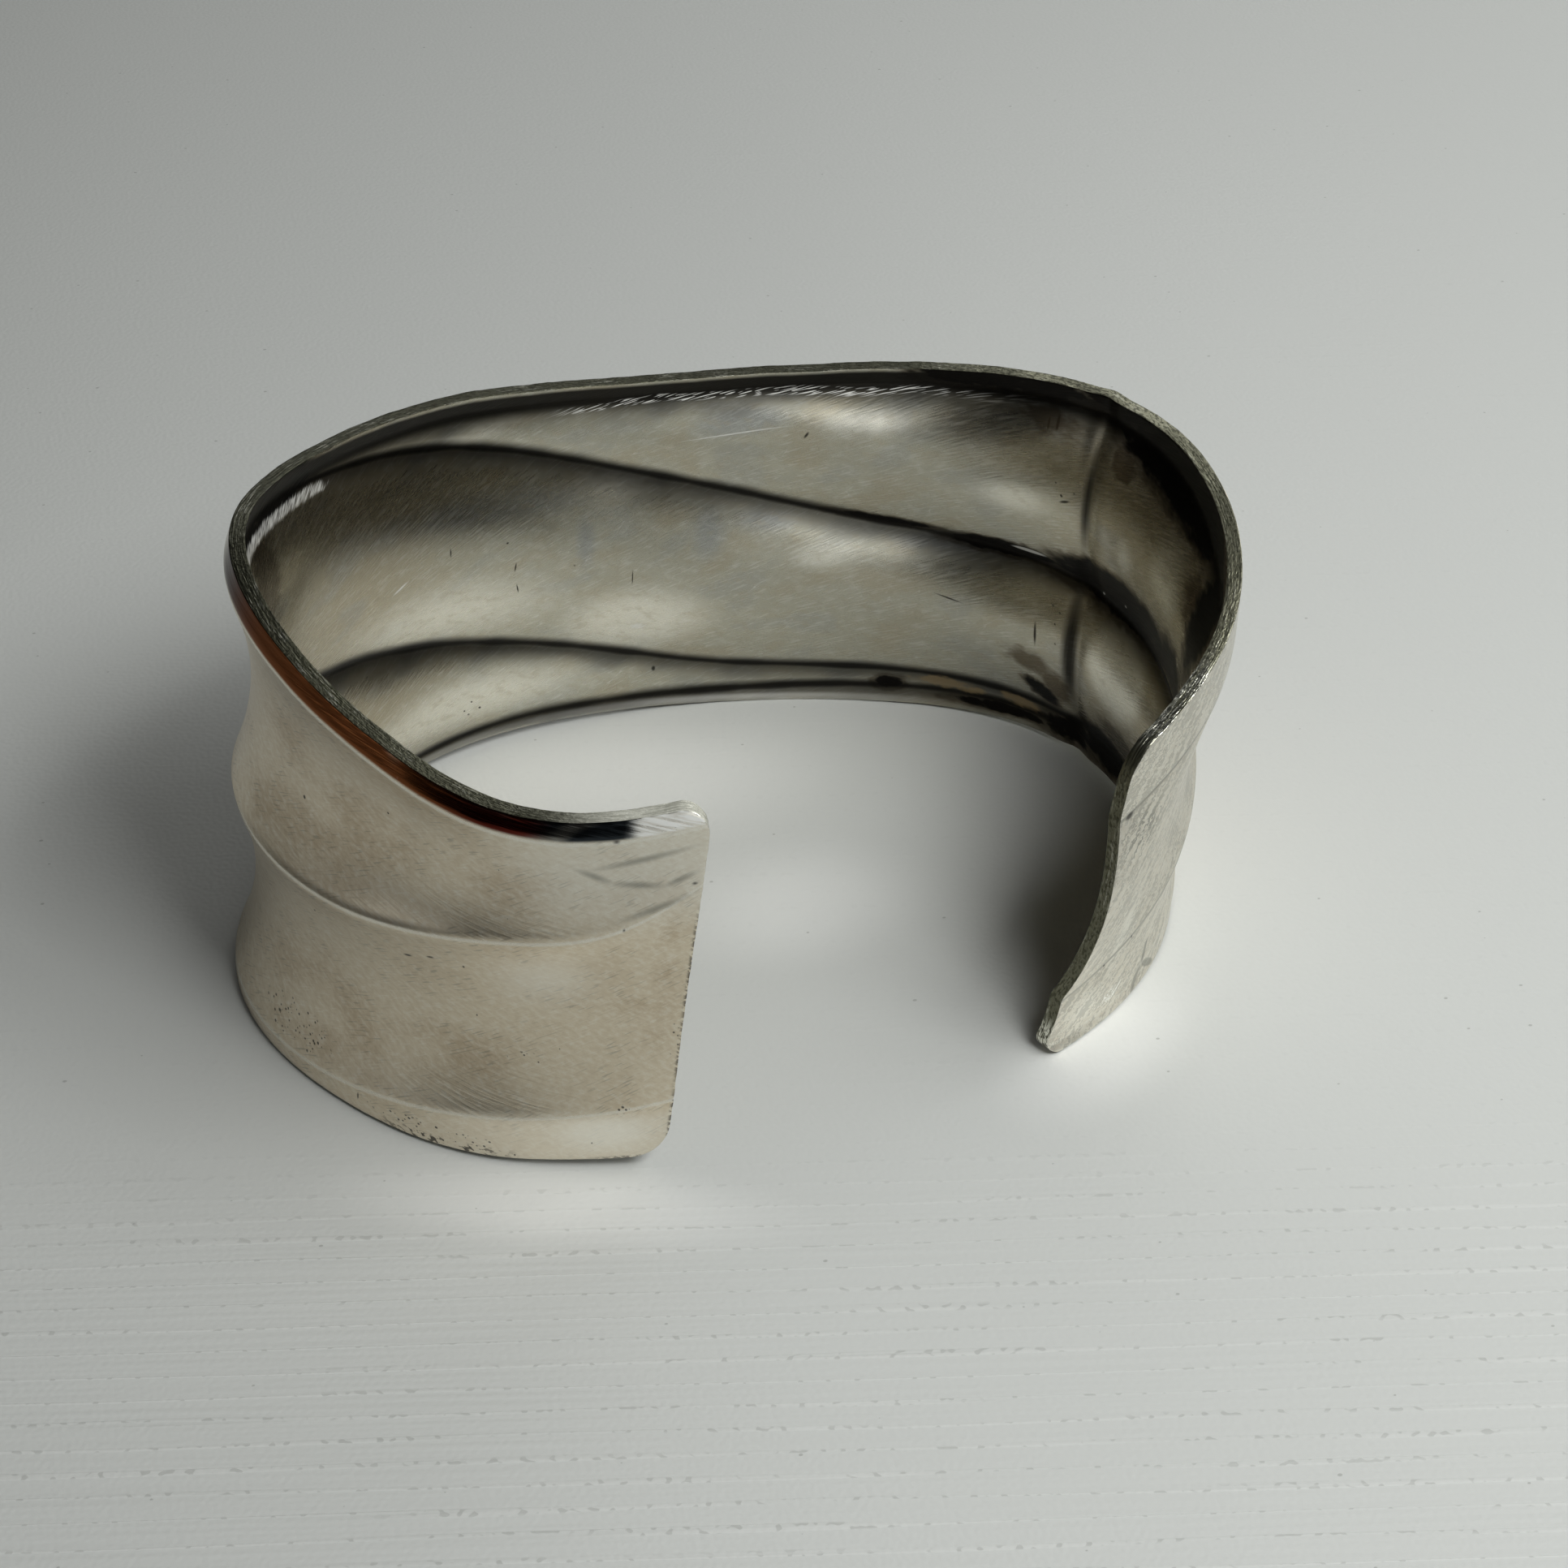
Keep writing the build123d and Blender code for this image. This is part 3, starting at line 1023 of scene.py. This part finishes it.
        hatch_off = abs(up - self.hatch_up + (clouds - HALF) * 0.6)
        hatch_length = along.between(self.hatch_along)
        strokes = graph.grain(place, self.hatching).rise(0.56, 0.64)
        hatch = hatch_off.fall(*self.hatch_half) * strokes * hatch_length
        scuff_strokes = graph.grain(place, self.scuffing)
        scuffed = along.between(self.scuff_along) * lip.between(self.scuff_lip)
        scuffed = scuffed | graph.patch(place, self.scuff)
        scuff = (scuffed * 0.9 + scuff_strokes - 1).rise(0.05, 0.6)
        # Real scratches and scuffs painted near-white with less metal so they show bright as if they catch
        # the light, and painted glints.
        bright_wear_and_glints = hatch | scuff * 0.8 | graph.patches(place, self.glints) * 0.8
        colour = graph.mix(bright_wear_and_glints, colour, self.bright)

        roughness = self.roughness + (brushing - HALF) * self.brushed
        roughness = roughness + tarnish_and_shade * 0.12 + bright_wear_and_glints * 0.2 + specks * 0.2
        graph.finish(colour, roughness, 1 - bright_wear_and_glints * 0.75, brushing * 0.22, self.relief_mm)
        return graph.material


@dataclass(frozen=True)
class FiledEdge(Finish):
    """Cut edge of the sheet: filed, olive grey, with bright and dark grains, the bright ones partly painted
    glints.
    """

    olive: Colour = (0.44, 0.43, 0.31)
    dark: Colour = (0.055, 0.055, 0.035)
    bright: Colour = (0.88, 0.87, 0.76)
    roughness: float = 0.38
    relief_mm: float = 0.08
    coarse: Grain = Grain(4, 1.2, 0, 1, 40)
    fine: Grain = Grain(0.4, 0.2, 15, 2, 41)
    files: Grain = Grain(1.6, 0.11, 0, 1, 42)
    polished_across: Span = (0, 10)
    darkening_across: Span = (18, 27)
    darkening_ahead: Span = (-14, 4)
    # Worn, polished stretches of the edge, also painted as glints.
    worn: tuple[Mark, ...] = (
        Mark(143.5, 24.2, 4.5, 1.6, -15, 0.5),
        Mark(148, 1, 1.6, 2.2),
        Mark(3, 27, 9, 3),
    )
    broad: tuple[str, ...] = ("worn",)

    def material(self) -> bpy.types.Material:
        """Builds the shader.

        Returns:
            The material.
        """
        graph = Graph("filed_edge")
        place = graph.seat()
        across, ahead = graph.parts(graph.room())
        coarse = graph.grain(place, self.coarse)
        fine = graph.grain(place, self.fine)
        files = graph.grain(place, self.files)
        worn = graph.attribute("worn")
        # Darker everywhere but the right end, and a little darker towards the back.
        edge_darkening = across.fall(*self.darkening_across) * (ahead.rise(*self.darkening_ahead) * 0.15 + 0.68)
        colour = graph.mix((coarse.rise(0.35, 0.65) * 0.5) | edge_darkening, self.olive, self.dark)
        # Bright file marks and worn stretches, partly painted glints; where polished, near-white with less
        # metal so it shows as a highlight.
        polish_and_highlight = worn * across.fall(*self.polished_across)
        bright_wear_and_glints = files.rise(0.54, 0.64) * coarse.fall(0.4, 0.55) * 0.3
        bright_wear_and_glints = bright_wear_and_glints | worn * files.rise(0.4, 0.5) | polish_and_highlight * 0.6
        colour = graph.mix(bright_wear_and_glints, colour, self.bright)
        grains = fine.rise(0.5, 0.6) * (worn * 0.15 - polish_and_highlight * 0.75 + 0.65)
        colour = graph.mix(grains, colour, self.dark)
        roughness = self.roughness + (fine - HALF) * 0.2 - bright_wear_and_glints * 0.1
        graph.finish(colour, roughness, 1 - polish_and_highlight * 0.8, fine * 0.6 + files * 0.5, self.relief_mm)
        return graph.material


@dataclass(frozen=True)
class TablePaint:
    """Pale matte paint with faint brush lines that grow towards the camera, and painted pools of light
    reflected from the cuff.
    """

    paint: Colour = (0.82, 0.83, 0.805)
    pit: Colour = (0.25, 0.25, 0.22)
    light: Colour = (0.98, 0.985, 0.96)
    # Painted pools of light that the cuff reflects onto the table.
    painted_light_pools: tuple[Mark, ...] = (
        Mark(-3, 14.5, 18, 9, -10, 0.1),
        Mark(19, -21, 11, 6.5, 35, 0.2),
        Mark(-18, -25, 18, 4.5, -22, 0.2),
        Mark(4, -2, 12, 8, 0, 0.1),
    )
    roughness: float = 0.5
    relief_mm: float = 0.06
    lines: Grain = Grain(22, 0.4, -14.5, 0, 50)
    beads: Grain = Grain(0.55, 0.45, -14.5, 0, 51)
    grit: Grain = Grain(0.35, 0.35, 0, 0, 52)
    pits: Dots = Dots(3.6, 0.13, 0.3, 5)
    row_space: float = 1.75
    row_half: Span = (0.02, 0.11)
    row_fade: Span = (-34, -22)

    def material(self) -> bpy.types.Material:
        """Builds the shader.

        Returns:
            The material.
        """
        graph = Graph("table_paint")
        place = graph.room()
        lines = graph.grain(place, self.lines)
        beads = graph.grain(place, self.beads)
        grit = graph.grain(place, self.grit)
        _, ahead = graph.parts(graph.fitted(place, (0.0, 0.0), (1.0, 1.0), self.lines.turn))
        near = ahead.fall(*self.row_fade) * 0.9 + 0.1
        row = graph.math("FRACT", (ahead + lines * 0.6) / self.row_space)
        row = abs(row - HALF).fall(*self.row_half)
        beaded = row * beads.rise(0.6, 0.72) * near
        pits = graph.dots(place, self.pits)
        # Painted pools of reflected light beside the cuff.
        colour = graph.mix(graph.patches(place, self.painted_light_pools), self.paint, self.light)
        colour = graph.mix(row * near * lines.rise(0.4, 0.6) * 0.3, colour, self.light)
        colour = graph.mix(pits * 0.4 | beaded * 0.28, colour, self.pit)
        height = lines * near * 0.6 + row * near * 0.3 + grit * 0.25
        graph.finish(colour, self.roughness, 0.0, height, self.relief_mm)
        return graph.material


@dataclass
class Cuff:
    """The cuff as worn silver sheet: its mesh and the finish of each side."""

    form: CuffForm = field(default_factory=CuffForm)
    band_length: float = 148.0
    columns: int = 320
    rows: int = 104
    usual_space: float = 0.55
    crease_space: float = 0.11
    edge_space: float = 0.28
    end_reach: float = 4.0
    fold_reach: float = 3.0
    crease_reach: float = 0.8
    edge_round: float = 0.18
    round_steps: int = 3
    edge_cuts: int = 3
    fold_at: float = 114.2
    fold_width: float = 0.9
    fold_depth: float = 0.28
    rim_share: float = 0.125
    waves: tuple[Ripple, ...] = (Ripple(11, 0.07), Ripple(11.0 / 2.3, 0.028))
    wobbles: tuple[Ripple, ...] = (Ripple(6, 0.07, 7), Ripple(1.7, 0.035, 3))
    nicks: tuple[Ripple, ...] = (Ripple(0.45, 0.025), Ripple(0.2, 0.015, 1))
    corners: tuple[Corner, ...] = (
        Corner(False, True, 2.5),
        Corner(False, False, 2.4),
        Corner(True, True, 2),
        Corner(True, False, 1.4),
    )

    def place(self, along: float, share: float, height: float) -> tuple[float, float]:
        """Where a point of the grid goes as the corners are rounded.

        Args:
            along: share of the band's length.
            share: share of its height there.
            height: that height, in millimetres.

        Returns:
            The two shares of the moved point.
        """
        for corner in self.corners:
            from_end = (1 - along if corner.right else along) * self.band_length
            from_edge = (1 - share if corner.top else share) * height
            if max(from_end, from_edge) > corner.radius * corner.zone:
                continue
            from_end, from_edge = corner.rounded(from_end, from_edge)
            along = 1 - from_end / self.band_length if corner.right else from_end / self.band_length
            share = 1 - from_edge / height if corner.top else from_edge / height
        return along, share

    def lay_out(self, bm: bmesh.types.BMesh) -> None:
        """Makes the flat grid and notes each point's shares of the band's length and height.

        Args:
            bm: the empty mesh.
        """
        columns, rows = self.columns, self.rows
        bmesh.ops.create_grid(bm, x_segments=columns, y_segments=rows, size=HALF)
        layers = bm.verts.layers.float
        along_layer, share_layer, _ = (layers.new(name) for name in ("along", "share", "through"))
        finer = [(end, self.end_reach, self.edge_space) for end in (0, self.band_length)]
        finer.append((self.fold_at, self.fold_reach, self.edge_space))
        alongs = spread(self.band_length, columns, finer, self.usual_space)
        lines = []
        for along in alongs:
            column = self.form.column(float(along))
            places = [crease * column.height for crease in column.creases]
            near = [(place, self.crease_reach, self.crease_space) for place in places]
            near += [(edge, self.crease_reach, self.edge_space) for edge in (0, column.height)]
            lines.append(spread(column.height, rows, near, self.usual_space))
        for vert in bm.verts:
            i = round((vert.co.x + HALF) * columns)
            j = round((vert.co.y + HALF) * rows)
            along, share = float(alongs[i]), float(lines[i][j])
            vert[along_layer], vert[share_layer] = self.place(along, share, self.form.column(along).height)

    def shape(self, bm: bmesh.types.BMesh, verts: list[bmesh.types.BMVert], side: Side) -> None:
        """Moves vertices to one side of the sheet, with its waves, fold and wobbling rim.

        Args:
            bm: the mesh.
            verts: the vertices.
            side: which side.
        """
        layers = bm.verts.layers.float
        along_layer, share_layer = layers["along"], layers["share"]
        for vert in verts:
            along, share = vert[along_layer], vert[share_layer]
            column = self.form.column(along)
            seat = Vector((along * self.band_length, share * column.height, 0))
            wave = sum(ripple.at(seat) for ripple in self.waves)
            wobble = sum(ripple.at(seat) for ripple in self.wobbles)
            near_rim = max(0.0, 1 - (1 - share) / self.rim_share)
            fold = self.fold_depth * math.exp(-(((seat.x - self.fold_at) / self.fold_width) ** 2))
            point = column.point(share, side) + column.outward * (wave + fold)
            vert.co = (point + UP * (wobble * near_rim)) * MM

    def thicken(self, bm: bmesh.types.BMesh) -> None:
        """Gives the sheet its thickness and rounds its cut edges a little.

        Args:
            bm: the mesh of the outside.
        """
        outer = list(bm.faces)
        made = bmesh.ops.extrude_face_region(bm, geom=outer)["geom"]
        inner_verts = [item for item in made if isinstance(item, bmesh.types.BMVert)]
        inner_faces = [item for item in made if isinstance(item, bmesh.types.BMFace)]
        self.shape(bm, inner_verts, Side.INSIDE)
        through_layer = bm.verts.layers.float["through"]
        for vert in inner_verts:
            vert[through_layer] = self.form.sheet
        for faces, side in ((bm.faces, Side.CUT), (outer, Side.OUTSIDE), (inner_faces, Side.INSIDE)):
            for face in faces:
                face.material_index = side
        inner = set(inner_verts)
        across = [edge for edge in bm.edges if (edge.verts[0] in inner) != (edge.verts[1] in inner)]
        bmesh.ops.subdivide_edges(bm, edges=across, cuts=self.edge_cuts, use_grid_fill=True)
        if bm.calc_volume(signed=True) < 0:
            bmesh.ops.reverse_faces(bm, faces=bm.faces)
        sharp = [edge for edge in bm.edges if len({face.material_index for face in edge.link_faces}) == 2]
        bmesh.ops.bevel(
            bm, geom=sharp, offset=self.edge_round * MM, offset_type="OFFSET", segments=self.round_steps,
            profile=HALF, affect="EDGES", clamp_overlap=True, material=-1,
        )

    def roughen(self, bm: bmesh.types.BMesh) -> None:
        """Leaves file marks and nicks on the cut edges.

        Args:
            bm: the mesh.
        """
        cut = {vert for face in bm.faces if face.material_index == Side.CUT for vert in face.verts}
        bm.normal_update()
        for vert in cut:
            seat = vert.co / MM
            vert.co += vert.normal * (sum(ripple.at(seat) for ripple in self.nicks) * MM)

    def chart(self, bm: bmesh.types.BMesh) -> None:
        """Writes the band's own map and each point's distance from the creases and the cut edges.

        Args:
            bm: the mesh.
        """
        layers = bm.verts.layers.float
        along_layer, share_layer, through_layer = (layers[name] for name in ("along", "share", "through"))
        written = [layers.new(name) for name in ("up", NEAR, OVER, UNDER, EDGE, LIP)]
        uv_layer = bm.loops.layers.uv.new(BAND_UV)
        for vert in bm.verts:
            along, share = vert[along_layer], vert[share_layer]
            column = self.form.column(along)
            gaps = [(share - crease) * column.height for crease in column.creases]
            measures = (
                share * column.height,
                min(abs(gap) for gap in gaps),
                min((gap for gap in gaps if gap >= 0), default=FAR),
                min((-gap for gap in gaps if gap <= 0), default=FAR),
                min(min(along, 1 - along) * self.band_length, min(share, 1 - share) * column.height),
                gaps[-1],
            )
            for layer, measure in zip(written, measures):
                vert[layer] = measure
        for face in bm.faces:
            for loop in face.loops:
                vert = loop.vert
                seat = (vert[along_layer] * self.band_length, vert[written[0]])
                if face.material_index == Side.CUT:
                    seat = (sum(seat), vert[through_layer])
                loop[uv_layer].uv = (seat[0] / UV_MM, seat[1] / UV_MM)

    def paint(self, mesh: bpy.types.Mesh) -> None:
        """Gives the mesh each side's finish and the broad marks that the finishes ask for.

        Args:
            mesh: the finished mesh.
        """
        count = len(mesh.vertices)
        along, up = np.empty(count), np.empty(count)
        mesh.attributes["along"].data.foreach_get("value", along)
        mesh.attributes["up"].data.foreach_get("value", up)
        along *= self.band_length
        for finish in (SatinOutside(), TarnishedInside(), FiledEdge()):
            mesh.materials.append(finish.material())
            for name, marks in finish.broad_marks().items():
                cover = np.max([mark.cover(along, up) for mark in marks], axis=0)
                mesh.attributes.new(name, "FLOAT", "POINT").data.foreach_set("value", cover)

    def build(self) -> bpy.types.Object:
        """Builds the piece and seats it where the CAD node lies.

        Returns:
            The finished object.
        """
        bm = bmesh.new()
        self.lay_out(bm)
        self.shape(bm, list(bm.verts), Side.OUTSIDE)
        self.thicken(bm)
        self.roughen(bm)
        self.chart(bm)
        low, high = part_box("cuff")
        points = np.array([vert.co for vert in bm.verts])
        own_low, own_high = Vector(points.min(0)), Vector(points.max(0))
        shift = (low + high - own_low - own_high) / 2
        shift.z = low.z - own_low.z
        bmesh.ops.translate(bm, verts=bm.verts, vec=shift)
        for face in bm.faces:
            face.smooth = True
        mesh = bpy.data.meshes.new("cuff_band")
        bm.to_mesh(mesh)
        bm.free()
        piece = bpy.data.objects.new("cuff_band", mesh)
        bpy.context.scene.collection.objects.link(piece)
        self.paint(mesh)
        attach(piece, "root")
        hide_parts("cuff")
        return piece


@dataclass(frozen=True)
class Panel:
    """A soft light: azimuth from the camera's right, elevation (degrees), power (W), size (m)."""

    azimuth: float
    elevation: float
    power: float
    width: float
    height: float


@dataclass
class Studio:
    """Table, soft light from the right, and camera."""

    eye: Vector = field(default_factory=lambda: Vector((-42.83, -155.96, 138.65)) * MM)
    aim: Vector = field(default_factory=lambda: Vector((7.25, 10.88, 0.085)) * MM)
    lens: float = 70.81
    nearest: float = 0.01
    table_half: float = 1.5
    panel_distance: float = 0.32
    panel_lift: float = 0.01
    daylight: Colour = (0.98, 1.0, 0.985)
    dim: Colour = (0.004, 0.004, 0.004)
    panels: tuple[Panel, ...] = (
        Panel(-50, 52, 0.34, 0.103, 0.123),
        Panel(-20, 52, 0.22, 0.103, 0.123),
        Panel(10, 52, 0.12, 0.103, 0.123),
        Panel(70, 31, 0.08, 0.144, 0.112),
        Panel(100, 31, 0.04, 0.144, 0.112),
        Panel(40, 12, 0.11, 0.164, 0.100),
        Panel(-80, 12, 0.08, 0.164, 0.100),
        Panel(-158, 12, 0.03, 0.20, 0.100),
    )

    def camera(self) -> None:
        """Sets the camera at the photograph's angle."""
        data = bpy.data.cameras.new("camera")
        data.lens = self.lens
        data.clip_start = self.nearest
        camera = bpy.data.objects.new("camera", data)
        camera.location = self.eye
        camera.rotation_mode = "QUATERNION"
        camera.rotation_quaternion = (self.aim - self.eye).to_track_quat("-Z", "Y")
        bpy.context.scene.collection.objects.link(camera)
        bpy.context.scene.camera = camera

    def table(self) -> None:
        """Lays the pale table under the cuff."""
        bm = bmesh.new()
        bmesh.ops.create_grid(bm, x_segments=1, y_segments=1, size=self.table_half)
        mesh = bpy.data.meshes.new("table")
        bm.to_mesh(mesh)
        bm.free()
        table = bpy.data.objects.new("table", mesh)
        mesh.materials.append(TablePaint().material())
        bpy.context.scene.collection.objects.link(table)

    def lights(self) -> None:
        """Hangs the panels of the soft light and dims the room."""
        look = self.aim - self.eye
        right = Vector((look.y, -look.x, 0)).normalized()
        ahead = UP.cross(right)
        for number, panel in enumerate(self.panels):
            azimuth, elevation = math.radians(panel.azimuth), math.radians(panel.elevation)
            level = right * math.cos(azimuth) + ahead * math.sin(azimuth)
            way = level * math.cos(elevation) + UP * math.sin(elevation)
            data = bpy.data.lights.new(f"panel_{number}", "AREA")
            data.shape = "RECTANGLE"
            data.size, data.size_y = panel.width, panel.height
            data.energy = panel.power
            data.color = self.daylight
            light = bpy.data.objects.new(data.name, data)
            light.location = way * self.panel_distance + UP * self.panel_lift
            light.rotation_mode = "QUATERNION"
            light.rotation_quaternion = (-way).to_track_quat("-Z", "Y")
            bpy.context.scene.collection.objects.link(light)
        world = bpy.data.worlds.new("room")
        world.use_nodes = True
        backdrop = world.node_tree.nodes["Background"]
        backdrop.inputs["Color"].default_value = (*self.dim, 1.0)
        bpy.context.scene.world = world

    def build(self) -> None:
        """Sets up the whole studio."""
        self.table()
        self.lights()
        self.camera()
        bpy.context.scene.view_settings.view_transform = "Standard"


def main() -> None:
    """Builds the cuff and its studio, and logs the cuff's face count."""
    logging.basicConfig(level=logging.INFO, format="%(name)s: %(message)s")
    piece = Cuff().build()
    LOG.info("%s has %d faces", piece.name, len(piece.data.polygons))
    Studio().build()


if __name__ == "__main__":
    main()
